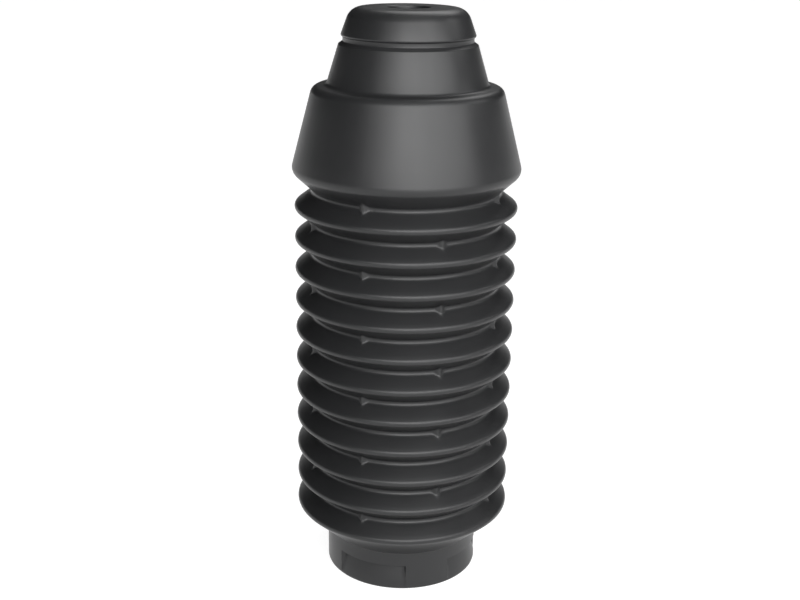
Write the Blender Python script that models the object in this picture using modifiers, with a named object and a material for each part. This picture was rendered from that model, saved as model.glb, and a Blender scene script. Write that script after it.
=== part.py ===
# Dust boot for a shock absorber: one rubber moulding, turned about Z and open at both ends.
# From the top down: cap with the rod hole, groove, tapered neck, flared shroud, folds, collar.
# Metres, +Z up, origin on the axis at the collar's bottom rim, front towards -Y.
import math

import bmesh
import bpy
from mathutils import Matrix, Vector

# Collar that grips the damper body, with snap claws pressed in from outside
COLLAR_RADIUS = 0.0272
COLLAR_HEIGHT = 0.0141
COLLAR_WALL = 0.0024
COLLAR_EDGE_ROUND = 0.0006
CLAW_COUNT = 4
CLAW_SWEEP = math.radians(55.0)
CLAW_BOTTOM = 0.0013
CLAW_TOP = 0.0091
CLAW_DEPTH = 0.0020
CLAW_WALL = 0.0017

# Bellows: crests and roots of equal pitch
FOLD_COUNT = 11
FOLD_PITCH = 0.01093
FOLD_RADIUS = 0.0381
FOLD_DEPTH = 0.0056
CREST_ROUND = 0.0014
ROOT_ROUND = 0.0012
FOLD_WALL = 0.0018
LAST_FOLD_RISE = 0.0106

# Gussets: small webs across each root, staggered from one root to the next
GUSSETS_PER_ROOT = 4
GUSSET_REACH = 0.0016
GUSSET_HALF_WIDTH = 0.0035

# Shroud: flared skirt whose rim overhangs the folds; its underside ends in a root like the others
SHROUD_RIM_RADIUS = 0.0392
SHROUD_RIM_RISE = 0.0069
SHROUD_RIM_ROUND = 0.0031
SHROUD_LENGTH = 0.0280
SHROUD_TOP_RADIUS = 0.0319
SHOULDER_ROUND = 0.0032
SHOULDER_RISE = 0.0004

# Neck and cap
NECK_BASE_RADIUS = 0.0272
NECK_BASE_ROUND = 0.0015
NECK_LENGTH = 0.0133
NECK_TOP_RADIUS = 0.02315
NECK_TOP_ROUND = 0.0005
GROOVE_RADIUS = 0.0217
GROOVE_BEVEL = 0.0010
GROOVE_HEIGHT = 0.0013
LIP_UNDERCUT = 0.0006
LIP_RADIUS = 0.0224
LIP_ROUND = 0.0010
CAP_HEIGHT = 0.0090
CAP_TOP_RADIUS = 0.0191
CAP_TOP_ROUND = 0.0053
BODY_WALL = 0.0022
CAP_ROOF = 0.0030
ROD_HOLE_RADIUS = 0.0070
ROD_HOLE_ROUND = 0.0005

# How finely round stretches are stepped, and the fillets inside that are too small to step
TURN_STEPS = 32
CREST_STEPS = 3
ROOT_STEPS = 2
BEND_STEPS = 4
SMALL_BEND_STEPS = 2
EDGE_STEPS = 1
CLAW_STEPS = 5
SHARP_INSIDE = 0.0005
LONGEST_TANGENT = 0.45
MERGE_DISTANCE = 0.00001
CUT_CLEARANCE = 0.0020

# Rubber: black, satin
RUBBER_COLOUR = (0.022, 0.023, 0.024, 1.0)
RUBBER_ROUGHNESS = 0.52


def fold_half_angle():
    """Angle between a flank and the level plane, tangent to both the crest and the root arcs."""
    across = FOLD_DEPTH - CREST_ROUND - ROOT_ROUND
    up = FOLD_PITCH / 2
    reach = math.hypot(across, up)
    return math.atan2(up, across) - math.asin((CREST_ROUND + ROOT_ROUND) / reach)


def sharp_crest(radius, rounding):
    """Radius where the two flanks of a crest would meet before it is rounded."""
    return radius - rounding + rounding / math.sin(fold_half_angle())


def sharp_root(radius, rounding):
    """Radius where the two flanks of a root would meet before it is rounded."""
    return radius + rounding - rounding / math.sin(fold_half_angle())


def heights():
    """Levels worked out from the collar up, each from the one below."""
    level = {"last_crest": COLLAR_HEIGHT + LAST_FOLD_RISE}
    level["first_crest"] = level["last_crest"] + (FOLD_COUNT - 1) * FOLD_PITCH
    level["top_root"] = level["first_crest"] + FOLD_PITCH / 2
    level["shroud_rim"] = level["top_root"] + SHROUD_RIM_RISE
    level["shroud_top"] = level["shroud_rim"] + SHROUD_LENGTH
    level["neck_base"] = level["shroud_top"] + SHOULDER_RISE
    level["neck_top"] = level["neck_base"] + NECK_LENGTH
    level["groove_base"] = level["neck_top"] + GROOVE_BEVEL
    level["groove_top"] = level["groove_base"] + GROOVE_HEIGHT
    level["lip"] = level["groove_top"] + LIP_UNDERCUT
    level["top"] = level["lip"] + CAP_HEIGHT
    return level


def corner(radius, height, rounding=0.0, steps=EDGE_STEPS, wall=BODY_WALL):
    """One corner of the outline: where its runs meet, its fillet and the wall behind it."""
    return {"at": Vector((radius, height)), "round": rounding, "steps": steps, "wall": wall}


def cap(level):
    """Outer corners of the cap down to its lip."""
    return [
        corner(CAP_TOP_RADIUS, level["top"], CAP_TOP_ROUND, BEND_STEPS),
        corner(LIP_RADIUS, level["lip"], LIP_ROUND, SMALL_BEND_STEPS),
    ]


def groove(level):
    """Corners of the groove under the cap. It is cut in the outside alone."""
    return [corner(GROOVE_RADIUS, level["groove_top"]), corner(GROOVE_RADIUS, level["groove_base"])]


def neck(level):
    """Outer corners of the tapered neck."""
    return [
        corner(NECK_TOP_RADIUS, level["neck_top"], NECK_TOP_ROUND),
        corner(NECK_BASE_RADIUS, level["neck_base"], NECK_BASE_ROUND, SMALL_BEND_STEPS),
    ]


def shroud(level):
    """Outer corners of the shoulder, the flared wall and the rim that overhangs the folds."""
    top_root = sharp_root(FOLD_RADIUS - FOLD_DEPTH, ROOT_ROUND)
    return [
        corner(SHROUD_TOP_RADIUS, level["shroud_top"], SHOULDER_ROUND, BEND_STEPS),
        corner(SHROUD_RIM_RADIUS, level["shroud_rim"], SHROUD_RIM_ROUND, BEND_STEPS),
        corner(top_root, level["top_root"], ROOT_ROUND, ROOT_STEPS, FOLD_WALL),
    ]


def folds(level):
    """Outer corners of the bellows: a crest for every fold and a root between each two."""
    crest = sharp_crest(FOLD_RADIUS, CREST_ROUND)
    root = sharp_root(FOLD_RADIUS - FOLD_DEPTH, ROOT_ROUND)
    corners = []
    for index in range(FOLD_COUNT):
        height = level["first_crest"] - index * FOLD_PITCH
        corners.append(corner(crest, height, CREST_ROUND, CREST_STEPS, FOLD_WALL))
        corners.append(corner(root, height - FOLD_PITCH / 2, ROOT_ROUND, ROOT_STEPS, FOLD_WALL))
    return corners[:-1]


def collar():
    """Outer corners of the collar, from the foot of the last fold's underside down."""
    return [
        corner(COLLAR_RADIUS, COLLAR_HEIGHT, COLLAR_EDGE_ROUND, EDGE_STEPS, COLLAR_WALL),
        corner(COLLAR_RADIUS, 0.0, COLLAR_EDGE_ROUND, EDGE_STEPS, COLLAR_WALL),
    ]


def inside_of(before, here, after):
    """A corner moved in by its wall, square to the runs on both sides of it."""
    arriving = (here["at"] - before["at"]).normalized()
    leaving = (after["at"] - here["at"]).normalized()
    square_in = Vector((arriving.y, -arriving.x))
    square_out = Vector((leaving.y, -leaving.x))
    moved = here["at"] + (square_in + square_out) * here["wall"] / (1.0 + square_in.dot(square_out))
    bulges = arriving.x * leaving.y - arriving.y * leaving.x < 0
    rounding = here["round"] + (-here["wall"] if bulges else here["wall"])
    if rounding < SHARP_INSIDE:
        rounding = 0.0
    return corner(moved.x, moved.y, rounding)


def rounded(corners):
    """Points of an outline with each corner replaced by its arc. The ends stay as they are."""
    points = [corners[0]["at"]]
    for before, here, after in zip(corners, corners[1:], corners[2:]):
        back = before["at"] - here["at"]
        ahead = after["at"] - here["at"]
        half = back.angle(ahead) / 2
        longest = LONGEST_TANGENT * min(back.length, ahead.length)
        radius = min(here["round"], longest * math.tan(half))
        if radius < MERGE_DISTANCE:
            points.append(here["at"])
            continue
        back.normalize()
        ahead.normalize()
        centre = here["at"] + (back + ahead).normalized() * radius / math.sin(half)
        if here["steps"] == 1:
            # A single step is a flat that touches the arc at its middle
            flat_reach = (radius / math.sin(half) - radius) / math.cos(half)
            points += [here["at"] + back * flat_reach, here["at"] + ahead * flat_reach]
            continue
        tangent = radius / math.tan(half)
        start = here["at"] + back * tangent - centre
        sweep = start.angle_signed(here["at"] + ahead * tangent - centre)
        for step in range(here["steps"] + 1):
            turn = Matrix.Rotation(-sweep * step / here["steps"], 2)
            points.append(centre + turn @ start)
    points.append(corners[-1]["at"])
    return points


def wall_outline():
    """The moulding's closed section: down the outside from the rod hole, and up the inside."""
    level = heights()
    below = neck(level) + shroud(level) + folds(level) + collar()
    hole_edge = corner(ROD_HOLE_RADIUS, level["top"], ROD_HOLE_ROUND)
    mouth_edge = corner(COLLAR_RADIUS - COLLAR_WALL, 0.0, COLLAR_EDGE_ROUND)
    ceiling_edge = corner(ROD_HOLE_RADIUS, level["top"] - CAP_ROOF, ROD_HOLE_ROUND)
    hole_wall = corner(ROD_HOLE_RADIUS, level["top"] - CAP_ROOF / 2)

    lined = [hole_edge] + cap(level) + below
    inside = [inside_of(*three) for three in zip(lined, lined[1:], lined[2:])]
    inside[0]["at"].y = level["top"] - CAP_ROOF
    outside = [hole_wall, hole_edge] + cap(level) + groove(level) + below
    return rounded(outside + [mouth_edge] + inside[::-1] + [ceiling_edge, hole_wall])[:-1]


def turned(name, points, collection):
    """A closed outline in the XZ plane, turned once about Z by a Screw modifier."""
    mesh = bpy.data.meshes.new(name)
    edges = [(index, (index + 1) % len(points)) for index in range(len(points))]
    mesh.from_pydata([(point.x, 0.0, point.y) for point in points], edges, [])
    body = bpy.data.objects.new(name, mesh)
    collection.objects.link(body)
    screw = body.modifiers.new("turn", "SCREW")
    screw.axis = "Z"
    screw.angle = math.tau
    screw.steps = TURN_STEPS
    screw.render_steps = TURN_STEPS
    screw.use_merge_vertices = True
    screw.merge_threshold = MERGE_DISTANCE
    screw.use_smooth_shade = True
    return body


def around(radius, height, angle, sideways=0.0):
    """A point at a turn about Z from the front, with a step sideways along the tangent."""
    outwards = Vector((math.sin(angle), -math.cos(angle), 0.0))
    along = Vector((math.cos(angle), math.sin(angle), 0.0))
    return outwards * radius + along * sideways + Vector((0.0, 0.0, height))


def add_gusset(shape, root_radius, height, angle):
    """A web that fills the foot of a root: a level edge in the root, an upright ridge outside."""
    half_angle = fold_half_angle()
    buried = root_radius - FOLD_WALL / 2
    ridge = root_radius + GUSSET_REACH
    wall_middle = sharp_root(root_radius, ROOT_ROUND) - FOLD_WALL / 2 / math.sin(half_angle)
    half_height = (ridge - wall_middle) * math.tan(half_angle)
    corners = [
        around(buried, height, angle, -GUSSET_HALF_WIDTH),
        around(buried, height, angle, GUSSET_HALF_WIDTH),
        around(ridge, height + half_height, angle),
        around(ridge, height - half_height, angle),
    ]
    bmesh.ops.convex_hull(shape, input=[shape.verts.new(point) for point in corners])


def add_sector(shape, section, middle, sweep):
    """A closed section spun part of the way round Z, about the middle angle."""
    start = middle - sweep / 2
    face = shape.faces.new([shape.verts.new(around(r, z, start)) for r, z in section])
    bmesh.ops.spin(shape, geom=[face], cent=(0.0, 0.0, 0.0), axis=(0.0, 0.0, 1.0),
                   angle=sweep, steps=CLAW_STEPS)


def tool_object(name, shape, collection):
    """A closed shape that joins or cuts the moulding, hidden from the finished model."""
    bmesh.ops.recalc_face_normals(shape, faces=shape.faces)
    mesh = bpy.data.meshes.new(name)
    shape.to_mesh(mesh)
    shape.free()
    tool = bpy.data.objects.new(name, mesh)
    collection.objects.link(tool)
    tool.hide_render = True
    tool.display_type = "WIRE"
    return tool


def gussets(collection):
    """Webs in every root, each ring turned half a spacing from the one above it."""
    shape = bmesh.new()
    level = heights()
    spacing = math.tau / GUSSETS_PER_ROOT
    for root in range(FOLD_COUNT):
        height = level["top_root"] - root * FOLD_PITCH
        stagger = spacing / 2 if root % 2 else 0.0
        for place in range(GUSSETS_PER_ROOT):
            add_gusset(shape, FOLD_RADIUS - FOLD_DEPTH, height, stagger + place * spacing)
    return tool_object("gussets", shape, collection)


def claws(collection):
    """Wedges inside the collar whose upper edges hook into the damper body's groove."""
    inner = COLLAR_RADIUS - COLLAR_WALL
    buried = inner + COLLAR_WALL / 2
    hook = CLAW_TOP + CLAW_WALL
    section = [(buried, CLAW_BOTTOM), (inner, CLAW_BOTTOM), (inner - CLAW_DEPTH, CLAW_TOP),
               (inner - CLAW_DEPTH, hook), (buried, hook)]
    sweep = CLAW_SWEEP + 2 * CLAW_WALL / inner
    shape = bmesh.new()
    for place in range(CLAW_COUNT):
        add_sector(shape, section, place * math.tau / CLAW_COUNT, sweep)
    return tool_object("claws", shape, collection)


def claw_pockets(collection):
    """Wedges cut behind the claws, deepest under a square upper edge and flush at the foot."""
    clear = COLLAR_RADIUS + CUT_CLEARANCE
    slope = CLAW_DEPTH / (CLAW_TOP - CLAW_BOTTOM)
    foot = CLAW_BOTTOM - CUT_CLEARANCE / slope
    section = [(clear, foot), (COLLAR_RADIUS - CLAW_DEPTH, CLAW_TOP), (clear, CLAW_TOP)]
    shape = bmesh.new()
    for place in range(CLAW_COUNT):
        add_sector(shape, section, place * math.tau / CLAW_COUNT, CLAW_SWEEP)
    return tool_object("claw_pockets", shape, collection)


def combine(body, tool, operation):
    """Adds an exact Boolean step to the moulding."""
    step = body.modifiers.new(tool.name, "BOOLEAN")
    step.operation = operation
    step.solver = "EXACT"
    step.object = tool


def rubber():
    """Satin black rubber."""
    material = bpy.data.materials.new("rubber")
    material.use_nodes = True
    shader = material.node_tree.nodes["Principled BSDF"]
    shader.inputs["Base Color"].default_value = RUBBER_COLOUR
    shader.inputs["Roughness"].default_value = RUBBER_ROUGHNESS
    shader.inputs["Metallic"].default_value = 0.0
    return material


def collection_named(name):
    made = bpy.data.collections.new(name)
    bpy.context.scene.collection.children.link(made)
    return made


def main():
    for item in list(bpy.data.objects):
        bpy.data.objects.remove(item, do_unlink=True)
    parts = collection_named("shock_absorber_dust_boot")
    tools = collection_named("cutters")
    boot = turned("dust_boot", wall_outline(), parts)
    boot.data.materials.append(rubber())
    combine(boot, gussets(tools), "UNION")
    combine(boot, claws(tools), "UNION")
    combine(boot, claw_pockets(tools), "DIFFERENCE")


main()
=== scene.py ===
# Dust boot of a shock absorber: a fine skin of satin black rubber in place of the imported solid,
# on a pale floor with a low wall round it. Metres, +Z up, in the same frame as the solid.
import math

import bpy
import numpy as np
from mathutils import Matrix, Vector


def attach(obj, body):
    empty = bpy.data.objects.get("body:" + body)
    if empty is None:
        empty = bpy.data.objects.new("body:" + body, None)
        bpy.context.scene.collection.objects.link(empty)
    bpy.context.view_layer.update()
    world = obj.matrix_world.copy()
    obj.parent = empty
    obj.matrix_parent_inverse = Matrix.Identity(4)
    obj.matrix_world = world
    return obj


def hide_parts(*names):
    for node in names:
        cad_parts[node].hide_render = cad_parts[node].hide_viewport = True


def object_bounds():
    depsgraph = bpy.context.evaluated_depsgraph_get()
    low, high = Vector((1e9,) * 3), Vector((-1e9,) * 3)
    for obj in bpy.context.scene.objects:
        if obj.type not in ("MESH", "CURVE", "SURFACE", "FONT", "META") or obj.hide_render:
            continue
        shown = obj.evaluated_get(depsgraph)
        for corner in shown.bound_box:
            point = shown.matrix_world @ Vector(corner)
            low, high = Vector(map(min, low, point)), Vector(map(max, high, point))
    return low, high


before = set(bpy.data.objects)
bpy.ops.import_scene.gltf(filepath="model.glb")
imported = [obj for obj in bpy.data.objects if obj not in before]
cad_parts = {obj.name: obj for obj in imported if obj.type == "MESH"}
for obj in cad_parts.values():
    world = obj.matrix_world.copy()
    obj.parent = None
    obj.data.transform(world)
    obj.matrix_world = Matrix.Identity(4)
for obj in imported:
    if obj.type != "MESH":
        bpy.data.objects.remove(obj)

cadLow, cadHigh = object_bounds()
print("frame: the solid is %.1f mm wide and %.1f mm tall" % (2000 * cadHigh.x, 1000 * cadHigh.z))

# Sizes of the moulding. A rounded corner's place is where the straight runs beside it meet.
boot = {
    "collarRadius": 0.0272, "collarHeight": 0.0141, "collarWall": 0.0024,
    "foldCount": 11, "foldPitch": 0.01093, "lastCrestRise": 0.0106, "foldWall": 0.0018,
    "crestRadius": 0.0381, "crestRound": 0.0014, "rootRadius": 0.0325, "rootRound": 0.0012,
    "rimRadius": 0.0392, "rimRise": 0.0069, "rimRound": 0.0031,
    "shroudLength": 0.0280, "shroudTopRadius": 0.0319, "shoulderRound": 0.0032,
    "shoulderRise": 0.0004, "neckBaseRadius": 0.0272, "neckBaseRound": 0.0015,
    "neckLength": 0.0133, "neckTopRadius": 0.02315, "neckTopRound": 0.0005,
    "grooveRadius": 0.0217, "grooveBevel": 0.0010, "grooveHeight": 0.0013,
    "lipUndercut": 0.0006, "lipRadius": 0.0224, "lipRound": 0.0010, "capHeight": 0.0090,
    "capTopRadius": 0.0191, "capTopRound": 0.0053, "capRoof": 0.0030, "bodyWall": 0.0022,
    "rodHoleRadius": 0.0070, "edgeRound": 0.0005, "creaseRound": 0.0002,
}

# Webs across each root, staggered from one root to the next. They shape the surface only where
# it lies within blendReach of their own roof.
gusset = {"perRoot": 4, "reach": 0.0015, "halfWidth": 0.0029, "ridgeRound": 0.00030,
          "fillet": 0.00030, "blendReach": 0.002}

# Wedges pressed into the collar: a pocket outside, and a claw with a square hook inside.
# halfSweep and sideEdge are degrees round the collar; the sides slope over twice sideEdge.
claw = {"perCollar": 4, "halfSweep": 27.5, "foot": 0.0013, "top": 0.0091, "depth": 0.0020,
        "wall": 0.0017, "edge": 0.00008, "sideEdge": 0.6}

# How finely the skin is drawn: points on a flank's run and how they crowd towards a root, the
# share of a run that an arc may use, the rounding from which an inside arc gets more points,
# degrees of the step beside a web's ridge, the share of a web with close steps, and the angle
# in degrees from which an edge is sharp
drawing = {"flankPoints": 4, "crowding": 1.5, "arcShare": 0.45, "largeRound": 0.001,
           "ridgeStep": 0.2, "webShare": 0.7, "sharpAngle": 40.0}


def foldAngle():
    # A flank's rise above the level plane: the slope between the centres of the crest and root
    # arcs, less the angle whose sine is the two roundings over the centres' distance.
    across = boot["crestRadius"] - boot["crestRound"] - boot["rootRadius"] - boot["rootRound"]
    up = boot["foldPitch"] / 2
    rounds = boot["crestRound"] + boot["rootRound"]
    return math.atan2(up, across) - math.asin(rounds / math.hypot(across, up))


def findLevels():
    # Heights from the collar up, each the one below and its own rise.
    at = {"lastCrest": boot["collarHeight"] + boot["lastCrestRise"]}
    at["firstCrest"] = at["lastCrest"] + (boot["foldCount"] - 1) * boot["foldPitch"]
    at["topRoot"] = at["firstCrest"] + boot["foldPitch"] / 2
    at["rim"] = at["topRoot"] + boot["rimRise"]
    at["shroudTop"] = at["rim"] + boot["shroudLength"]
    at["neckBase"] = at["shroudTop"] + boot["shoulderRise"]
    at["neckTop"] = at["neckBase"] + boot["neckLength"]
    at["grooveBase"] = at["neckTop"] + boot["grooveBevel"]
    at["grooveTop"] = at["grooveBase"] + boot["grooveHeight"]
    at["lip"] = at["grooveTop"] + boot["lipUndercut"]
    at["top"] = at["lip"] + boot["capHeight"]
    return at


level = findLevels()


def outsideCorners():
    # Rows of radius, height, rounding, points on the arc, points on the run after it, and the
    # wall behind. A crest's flanks would meet further out by rounding / sin(angle) - rounding,
    # and a root's further in by the same.
    body, thin, wall = boot["bodyWall"], boot["foldWall"], boot["collarWall"]
    point = 1 / math.sin(foldAngle()) - 1
    crestPoint, rootPoint = boot["crestRound"] * point, boot["rootRound"] * point
    crease, collar, flank = boot["creaseRound"], boot["collarRadius"], drawing["flankPoints"]
    rows = [
        (boot["capTopRadius"], level["top"], boot["capTopRound"], 12, 1, body),
        (boot["lipRadius"], level["lip"], boot["lipRound"], 8, 0, body),
        (boot["grooveRadius"], level["grooveTop"], crease, 3, 0, 0.0),
        (boot["grooveRadius"], level["grooveBase"], crease, 3, 0, 0.0),
        (boot["neckTopRadius"], level["neckTop"], boot["neckTopRound"], 5, 2, body),
        (boot["neckBaseRadius"], level["neckBase"], boot["neckBaseRound"], 6, 0, body),
        (boot["shroudTopRadius"], level["shroudTop"], boot["shoulderRound"], 9, 3, body),
        (boot["rimRadius"], level["rim"], boot["rimRound"], 10, flank, body),
    ]
    for index in range(boot["foldCount"]):
        root, crest = boot["rootRadius"] - rootPoint, boot["crestRadius"] + crestPoint
        height = level["topRoot"] - index * boot["foldPitch"]
        rows.append((root, height, boot["rootRound"], 5, flank, thin))
        rows.append((crest, height - boot["foldPitch"] / 2, boot["crestRound"], 7, flank, thin))
    rows.append((collar, boot["collarHeight"], boot["edgeRound"], 4, 1, wall))
    edge = claw["edge"]
    for height in (claw["top"] + edge, claw["top"] - edge, claw["foot"]):
        rows.append((collar, height, 0.0, 1, 1, 0.0))
    rows.append((collar, 0.0, boot["edgeRound"], 4, 0, 0.0))
    return np.array(rows)


def insideCorners(outside):
    # Each corner with a wall, moved in along the sum of the two runs' normals n1 + n2 by
    # wall / (1 + n1.n2). An arc that bulges out loses the wall from its rounding, one that
    # dips in gains it.
    kept = outside[outside[:, 5] > 0]
    place, wall = kept[:, :2], kept[:, 5]
    chain = np.vstack([[boot["rodHoleRadius"], level["top"]], place, [boot["collarRadius"], 0.0]])
    runs = np.diff(chain, axis=0)
    runs /= np.linalg.norm(runs, axis=1)[:, None]
    normals = np.stack([runs[:, 1], -runs[:, 0]], axis=1)
    facing = (normals[:-1] * normals[1:]).sum(axis=1)
    moved = place + (normals[:-1] + normals[1:]) * (wall / (1 + facing))[:, None]
    turn = runs[:-1, 0] * runs[1:, 1] - runs[:-1, 1] * runs[1:, 0]
    rounding = np.maximum(kept[:, 2] + np.where(turn < 0, -wall, wall), boot["creaseRound"])
    moved[0, 1] = level["top"] - boot["capRoof"]
    arcPoints = np.where(rounding > drawing["largeRound"], 4, 2)
    blank = np.zeros(len(moved))
    return np.column_stack([moved, rounding, arcPoints, blank, blank])


def sectionCorners():
    # Down the outside from the rod hole, up the inside past the claws' hooks, and back out
    # through the hole.
    outside = outsideCorners()
    inside = insideCorners(outside)[::-1]
    bore = boot["collarRadius"] - boot["collarWall"]
    hook, edge = claw["top"] + claw["wall"], claw["edge"]
    mouth = [(bore, 0.0, boot["edgeRound"], 3, 0, 0.0)]
    hooks = [(bore, height, 0.0, 1, 0, 0.0)
             for height in (claw["foot"], claw["top"], hook - edge, hook + edge)]
    hole, bend = boot["rodHoleRadius"], boot["edgeRound"]
    ways = [(hole, level["top"] - boot["capRoof"], bend, 3, 0, 0.0),
            (hole, level["top"], bend, 4, 1, 0.0)]
    return np.vstack([outside, mouth, hooks, inside, ways])


def roundedSection(corners):
    # The closed outline with an arc in each corner. Its centre lies on the bisector at
    # rounding / sin(half angle), and its points turn from one tangent point to the other.
    # Points on a run stand closest where it leaves a root, for the webs' feet.
    place = corners[:, :2]
    back = np.roll(place, 1, axis=0) - place
    ahead = np.roll(place, -1, axis=0) - place
    backLength = np.linalg.norm(back, axis=1)
    aheadLength = np.linalg.norm(ahead, axis=1)
    back /= backLength[:, None]
    ahead /= aheadLength[:, None]
    half = np.arccos(np.clip((back * ahead).sum(axis=1), -1, 1)) / 2
    tangent = corners[:, 2] / np.tan(half)
    tangent = np.minimum(tangent, drawing["arcShare"] * np.minimum(backLength, aheadLength))
    radius = tangent * np.tan(half)
    bisector = back + ahead
    bisector /= np.maximum(np.linalg.norm(bisector, axis=1), 1e-12)[:, None]
    centre = place + bisector * (radius / np.sin(half))[:, None]
    start = place + back * tangent[:, None] - centre
    end = place + ahead * tangent[:, None] - centre
    angle = np.arctan2(start[:, 1], start[:, 0])
    sweep = np.arctan2(end[:, 1], end[:, 0]) - angle
    sweep = (sweep + np.pi) % (2 * np.pi) - np.pi
    arcs = []
    for i, (arcPoints, rounding) in enumerate(zip(corners[:, 3].astype(int), radius)):
        turn = angle[i] + sweep[i] * np.linspace(0, 1, arcPoints)[:, None]
        arc = centre[i] + rounding * np.hstack([np.cos(turn), np.sin(turn)])
        arcs.append(arc if arcPoints > 1 else place[i:i + 1])
    rows = []
    for i, arc in enumerate(arcs):
        after = arcs[(i + 1) % len(arcs)]
        share = np.linspace(0, 1, int(corners[i, 4]) + 2)[1:-1, None]
        towardsCrest = place[i, 0] < place[(i + 1) % len(arcs), 0]
        if corners[i, 4] == drawing["flankPoints"]:
            power = drawing["crowding"]
            share = share ** power if towardsCrest else 1 - (1 - share) ** power
        rows += [arc, arc[-1] + (after[0] - arc[-1]) * share]
    return np.vstack(rows)


def turnAngles():
    # A quarter turn from one staggered web to the next, in degrees, then the other three.
    # Each stop is an angle and the number of steps after it, close at the webs and at the
    # sides of the claws, and wider between.
    pocket, edge = claw["halfSweep"], claw["sideEdge"]
    bore = boot["collarRadius"] - boot["collarWall"]
    hook = pocket + math.degrees(claw["wall"] / bore)
    ridge = drawing["ridgeStep"]
    web = drawing["webShare"] * math.degrees(gusset["halfWidth"] / boot["rootRadius"])
    stops = [(0.0, 1), (ridge, 5), (web, 9), (pocket - edge, 1), (pocket + edge, 2),
             (hook - edge, 1), (hook + edge, 4), (45.0 - web, 5), (45.0 - ridge, 1), (45.0, 0)]
    eighth = np.concatenate([np.linspace(first, last, count, endpoint=False)
                             for (first, count), (last, _) in zip(stops, stops[1:])])
    mirrored = 90.0 - np.append(eighth[1:], 45.0)[::-1]
    quarter = np.concatenate([eighth, mirrored])
    starts = 90.0 * np.arange(gusset["perRoot"])[:, None]
    return np.radians((quarter[None, :] + starts).ravel())


def withWebs(radius, height, angle):
    # Near a root the radius is the larger of the fold's own and of a roof, which falls from the
    # ridge with the distance sideways: smooth max(a, b) = (a + b + sqrt((a - b)^2 + fillet^2)) / 2.
    index = np.rint((level["topRoot"] - height) / boot["foldPitch"])
    index = np.clip(index, 0, boot["foldCount"] - 1)
    root = boot["rootRadius"]
    spacing = 2 * np.pi / gusset["perRoot"]
    stagger = np.where(index % 2 == 1, spacing / 2, 0.0)
    away = (angle - stagger + spacing / 2) % spacing - spacing / 2
    sideways = np.sqrt((root * np.sin(away)) ** 2 + gusset["ridgeRound"] ** 2)
    ridge = root + gusset["reach"]
    buried = root - boot["foldWall"] / 2
    roof = ridge - (ridge - buried) * sideways / gusset["halfWidth"]
    gap = radius - roof
    joined = (radius + roof + np.sqrt(gap ** 2 + gusset["fillet"] ** 2)) / 2
    onFolds = (height < level["rim"]) & (height > level["lastCrest"])
    near = onFolds & (np.abs(gap) < gusset["blendReach"])
    return np.where(near, joined, radius)


def pressedIn(height, angle, top, halfSweep):
    # Depth of a wedge: nothing at its foot, growing evenly to the claws' top, cut square there
    # or higher and at both sides.
    spacing = 2 * np.pi / claw["perCollar"]
    away = np.abs(np.degrees((angle + spacing / 2) % spacing - spacing / 2))
    slope = np.clip((height - claw["foot"]) / (claw["top"] - claw["foot"]), 0, 1)
    return claw["depth"] * slope * (height < top) * (away < halfSweep)


def ringSurface(section, angle, outsideRows):
    # Section rows by turn columns: x = r sin(angle), y = -r cos(angle), so angle 0 faces front.
    # Webs and pockets shape the outside rows, claws the rest.
    radius, height, turn = section[:, :1], section[:, 1:], angle[None, :]
    outer = np.arange(len(section))[:, None] < outsideRows
    shaped = np.where(outer, withWebs(radius, height, turn), radius + turn * 0)
    bore = boot["collarRadius"] - boot["collarWall"]
    hookSweep = claw["halfSweep"] + math.degrees(claw["wall"] / bore)
    onCollar = height < boot["collarHeight"]
    pocket = pressedIn(height, turn, claw["top"], claw["halfSweep"])
    hooks = pressedIn(height, turn, claw["top"] + claw["wall"], hookSweep)
    shaped = shaped - onCollar * np.where(outer, pocket, hooks)
    shaped = np.minimum(shaped, cadHigh.x)
    return np.stack([shaped * np.sin(turn), -shaped * np.cos(turn), height + turn * 0], axis=-1)


def gridMesh(name, grid):
    # Quads of a grid closed both ways: each row joins the next and the last joins the first.
    rows, columns = grid.shape[:2]
    index = np.arange(rows * columns).reshape(rows, columns)
    down, right = np.roll(index, -1, axis=0), np.roll(index, -1, axis=1)
    corner = np.roll(down, -1, axis=1)
    faces = np.stack([index, down, corner, right], axis=-1).reshape(-1, 4)
    mesh = bpy.data.meshes.new(name)
    mesh.vertices.add(rows * columns)
    mesh.vertices.foreach_set("co", grid.astype(np.float32).ravel())
    mesh.loops.add(faces.size)
    mesh.loops.foreach_set("vertex_index", faces.astype(np.int32).ravel())
    mesh.polygons.add(len(faces))
    mesh.polygons.foreach_set("loop_start", np.arange(0, faces.size, 4, dtype=np.int32))
    mesh.polygons.foreach_set("use_smooth", np.ones(len(faces), dtype=bool))
    mesh.update(calc_edges=True)
    mesh.validate()
    mesh.set_sharp_from_angle(angle=math.radians(drawing["sharpAngle"]))
    return mesh


section = roundedSection(sectionCorners())
section[:, 1] *= cadHigh.z / section[:, 1].max()
outsideRows = int(outsideCorners()[:, 3:5].sum())
skin = gridMesh("boot_skin", ringSurface(section, turnAngles(), outsideRows))
skinObject = bpy.data.objects.new("boot_skin", skin)
bpy.context.scene.collection.objects.link(skinObject)
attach(skinObject, "root")
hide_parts("dust_boot")
print("skin: %d rows, %d faces" % (len(section), len(skin.polygons)))


# Satin black rubber. Scales are cycles per metre, and cloudLow and cloudHigh are the values of
# the cloud between which the clean finish gives way to the worn one.
rubber = {"colour": (0.0135, 0.0138, 0.0145), "colourWorn": (0.0175, 0.0178, 0.0186),
          "roughness": 0.37, "roughnessWorn": 0.42, "specular": 0.45,
          "cloudScale": 55.0, "cloudDetail": 4.0, "cloudLow": 0.3, "cloudHigh": 0.7,
          "grainScale": 3200.0, "grainDetail": 2.0, "grainDepth": 0.00002, "grainStrength": 0.25}


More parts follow.
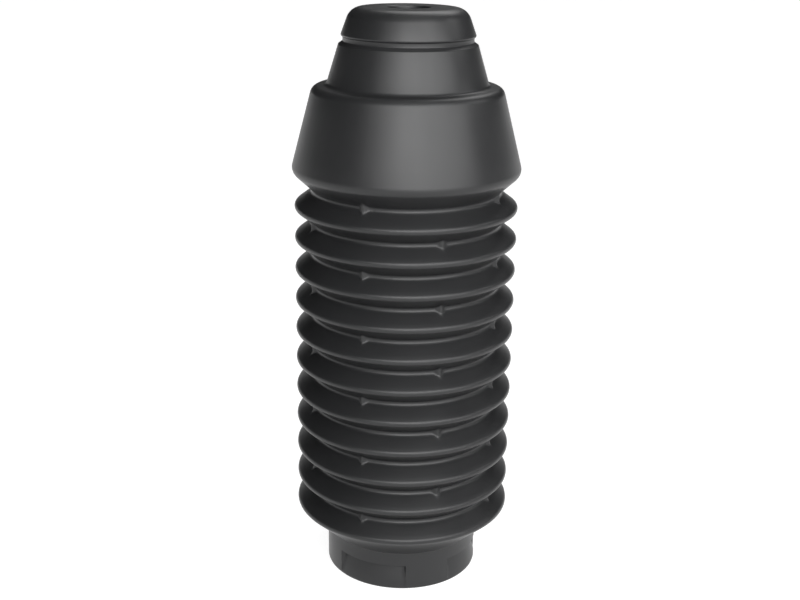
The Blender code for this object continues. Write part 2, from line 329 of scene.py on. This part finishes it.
def rubberMaterial():
    # Two noises on object coordinates: a broad cloud mixes the clean and the worn finish, and
    # a fine one presses the mould's grain into the surface.
    material = bpy.data.materials.new("satin_rubber")
    material.use_nodes = True
    nodes, links = material.node_tree.nodes, material.node_tree.links
    shader = nodes["Principled BSDF"]
    shader.inputs["Specular IOR Level"].default_value = rubber["specular"]
    place = nodes.new("ShaderNodeTexCoord")
    cloud = nodes.new("ShaderNodeTexNoise")
    cloud.inputs["Scale"].default_value = rubber["cloudScale"]
    cloud.inputs["Detail"].default_value = rubber["cloudDetail"]
    grain = nodes.new("ShaderNodeTexNoise")
    grain.inputs["Scale"].default_value = rubber["grainScale"]
    grain.inputs["Detail"].default_value = rubber["grainDetail"]
    colour = nodes.new("ShaderNodeMix")
    colour.data_type = "RGBA"
    colour.inputs["A"].default_value = (*rubber["colour"], 1)
    colour.inputs["B"].default_value = (*rubber["colourWorn"], 1)
    gloss = nodes.new("ShaderNodeMapRange")
    gloss.inputs["From Min"].default_value = rubber["cloudLow"]
    gloss.inputs["From Max"].default_value = rubber["cloudHigh"]
    gloss.inputs["To Min"].default_value = rubber["roughness"]
    gloss.inputs["To Max"].default_value = rubber["roughnessWorn"]
    bump = nodes.new("ShaderNodeBump")
    bump.inputs["Strength"].default_value = rubber["grainStrength"]
    bump.inputs["Distance"].default_value = rubber["grainDepth"]
    for source in (cloud, grain):
        links.new(place.outputs["Object"], source.inputs["Vector"])
    links.new(cloud.outputs["Fac"], colour.inputs["Factor"])
    links.new(cloud.outputs["Fac"], gloss.inputs["Value"])
    links.new(grain.outputs["Fac"], bump.inputs["Height"])
    links.new(colour.outputs["Result"], shader.inputs["Base Color"])
    links.new(gloss.outputs["Result"], shader.inputs["Roughness"])
    links.new(bump.outputs["Normal"], shader.inputs["Normal"])
    return material


skin.materials.append(rubberMaterial())
print("rubber: finish made")


# Photograph's camera: metres, degrees, and millimetres of lens and sensor
camera = {"distance": 0.4007, "height": 0.2312, "down": 18.21, "around": 24.2,
          "roll": 0.77, "yaw": -0.234, "lens": 53.93, "sensor": 36.0,
          "clipStart": 0.01, "clipEnd": 60.0}


def placeCamera():
    # Looks from the front towards +Y, pitched down, rolled and turned a little about the
    # upright, then carried round the boot.
    data = bpy.data.cameras.new("camera")
    data.lens, data.sensor_width = camera["lens"], camera["sensor"]
    data.clip_start, data.clip_end = camera["clipStart"], camera["clipEnd"]
    pitch, roll = math.radians(camera["down"]), math.radians(camera["roll"])
    right = Vector((1, 0, 0))
    up = Vector((0, math.sin(pitch), math.cos(pitch)))
    ahead = Vector((0, math.cos(pitch), -math.sin(pitch)))
    across = right * math.cos(roll) + up * math.sin(roll)
    upright = up * math.cos(roll) - right * math.sin(roll)
    turned = Matrix((across, upright, -ahead)).transposed()
    turned = Matrix.Rotation(-math.radians(camera["yaw"]), 3, "Z") @ turned
    carried = Matrix.Rotation(math.radians(camera["around"]), 3, "Z")
    placed = (carried @ turned).to_4x4()
    placed.translation = carried @ Vector((0, -camera["distance"], camera["height"]))
    item = bpy.data.objects.new("camera", data)
    item.matrix_world = placed
    bpy.context.scene.collection.objects.link(item)
    bpy.context.scene.camera = item


placeCamera()

# Studio: a wide pale floor with a low wall, near softboxes in front, aimed at the shroud, far
# lamps at the sides and fill from above and behind. Each lamp: name, degrees round from the
# front, degrees up, and light on a facing surface where 1 is plain. A far lamp's last number is
# its width in degrees, and farDistance is only where it stands.
studio = {"floorHalf": 4.0, "wallHeight": 0.3, "floorColour": (0.35, 0.35, 0.35),
          "floorRoughness": 0.9, "floorGlow": 0.86, "worldStrength": 0.02,
          "softboxDistance": 0.7, "softboxSide": 0.30, "farDistance": 2.0, "aimHeight": 0.15,
          "softboxes": [("keyLeft", 9.2, 24.0, 0.25), ("keyMiddle", 29.2, 24.0, 0.32),
                        ("keyRight", 49.2, 24.0, 0.20), ("keyFarRight", 69.2, 24.0, 0.20),
                        ("highMiddle", 24.2, 44.0, 0.10), ("highRight", 64.0, 44.0, 0.15),
                        ("lowLeft", 19.2, 6.0, 0.10), ("lowMiddle", 44.2, 6.0, 0.15),
                        ("lowRight", 69.2, 6.0, 0.11)],
          "farLamps": [("sideLeft", -10.8, 24.0, 0.07, 20.0), ("sideRight", 89.2, 19.0, 0.11, 16.0),
                       ("rimRight", 121.0, 30.0, 0.10, 24.0), ("backFill", 189.0, 50.0, 0.32, 40.0),
                       ("ceiling", 44.0, 80.0, 0.07, 40.0)]}


def aimedAt(item, around, up, distance, target):
    # Stands at the target plus the distance along (sin a cos u, -cos a cos u, sin u), facing it.
    a, u = math.radians(around), math.radians(up)
    out = Vector((math.sin(a) * math.cos(u), -math.cos(a) * math.cos(u), math.sin(u)))
    item.location = target + out * distance
    item.rotation_mode = "QUATERNION"
    item.rotation_quaternion = (-out).to_track_quat("-Z", "Y")


def lightStudio():
    # A far lamp's energy is light times pi. A softbox's is light times the square of pi times
    # its distance, which gives the same at the point that it faces.
    near, aim = studio["softboxDistance"], Vector((0, 0, studio["aimHeight"]))
    for name, around, up, light in studio["softboxes"]:
        data = bpy.data.lights.new(name, "AREA")
        data.shape, data.size = "SQUARE", studio["softboxSide"]
        data.energy = light * (math.pi * near) ** 2
        item = bpy.data.objects.new(name, data)
        item.visible_camera = False
        bpy.context.scene.collection.objects.link(item)
        aimedAt(item, around, up, near, aim)
    for name, around, up, light, width in studio["farLamps"]:
        data = bpy.data.lights.new(name, "SUN")
        data.energy, data.angle = light * math.pi, math.radians(width)
        item = bpy.data.objects.new(name, data)
        bpy.context.scene.collection.objects.link(item)
        aimedAt(item, around, up, studio["farDistance"], aim)
    world = bpy.data.worlds.new("studio")
    world.use_nodes = True
    shade = world.node_tree.nodes["Background"]
    shade.inputs["Color"].default_value = (1, 1, 1, 1)
    shade.inputs["Strength"].default_value = studio["worldStrength"]
    bpy.context.scene.world = world


def layFloor():
    # A square at height nought with a low wall round it, matt and pale, with a glow that only
    # lenses and mirrors see. The wall's corners are the square's, raised.
    half, tall = studio["floorHalf"], studio["wallHeight"]
    square = [(-half, -half), (half, -half), (half, half), (-half, half)]
    corners = [(x, y, z) for z in (0, tall) for x, y in square]
    walls = [(k, (k + 1) % 4, (k + 1) % 4 + 4, k + 4) for k in range(4)]
    mesh = bpy.data.meshes.new("floor")
    mesh.from_pydata(corners, [], [(0, 1, 2, 3)] + [wall[::-1] for wall in walls])
    floor = bpy.data.objects.new("floor", mesh)
    bpy.context.scene.collection.objects.link(floor)
    material = bpy.data.materials.new("pale_floor")
    material.use_nodes = True
    nodes, links = material.node_tree.nodes, material.node_tree.links
    shader = nodes["Principled BSDF"]
    shader.inputs["Base Color"].default_value = (*studio["floorColour"], 1)
    shader.inputs["Roughness"].default_value = studio["floorRoughness"]
    shader.inputs["Specular IOR Level"].default_value = 0.0
    shader.inputs["Emission Color"].default_value = (1, 1, 1, 1)
    path = nodes.new("ShaderNodeLightPath")
    seen = path.outputs["Is Camera Ray"]
    for kind in ("Is Glossy Ray", "Is Transmission Ray"):
        either = nodes.new("ShaderNodeMath")
        either.operation = "MAXIMUM"
        links.new(seen, either.inputs[0])
        links.new(path.outputs[kind], either.inputs[1])
        seen = either.outputs[0]
    glow = nodes.new("ShaderNodeMath")
    glow.operation = "MULTIPLY"
    glow.inputs[1].default_value = studio["floorGlow"]
    links.new(seen, glow.inputs[0])
    links.new(glow.outputs[0], shader.inputs["Emission Strength"])
    mesh.materials.append(material)


lightStudio()
layFloor()
print("studio: floor, lamps and camera placed")

bpy.context.scene.view_settings.view_transform = "Standard"
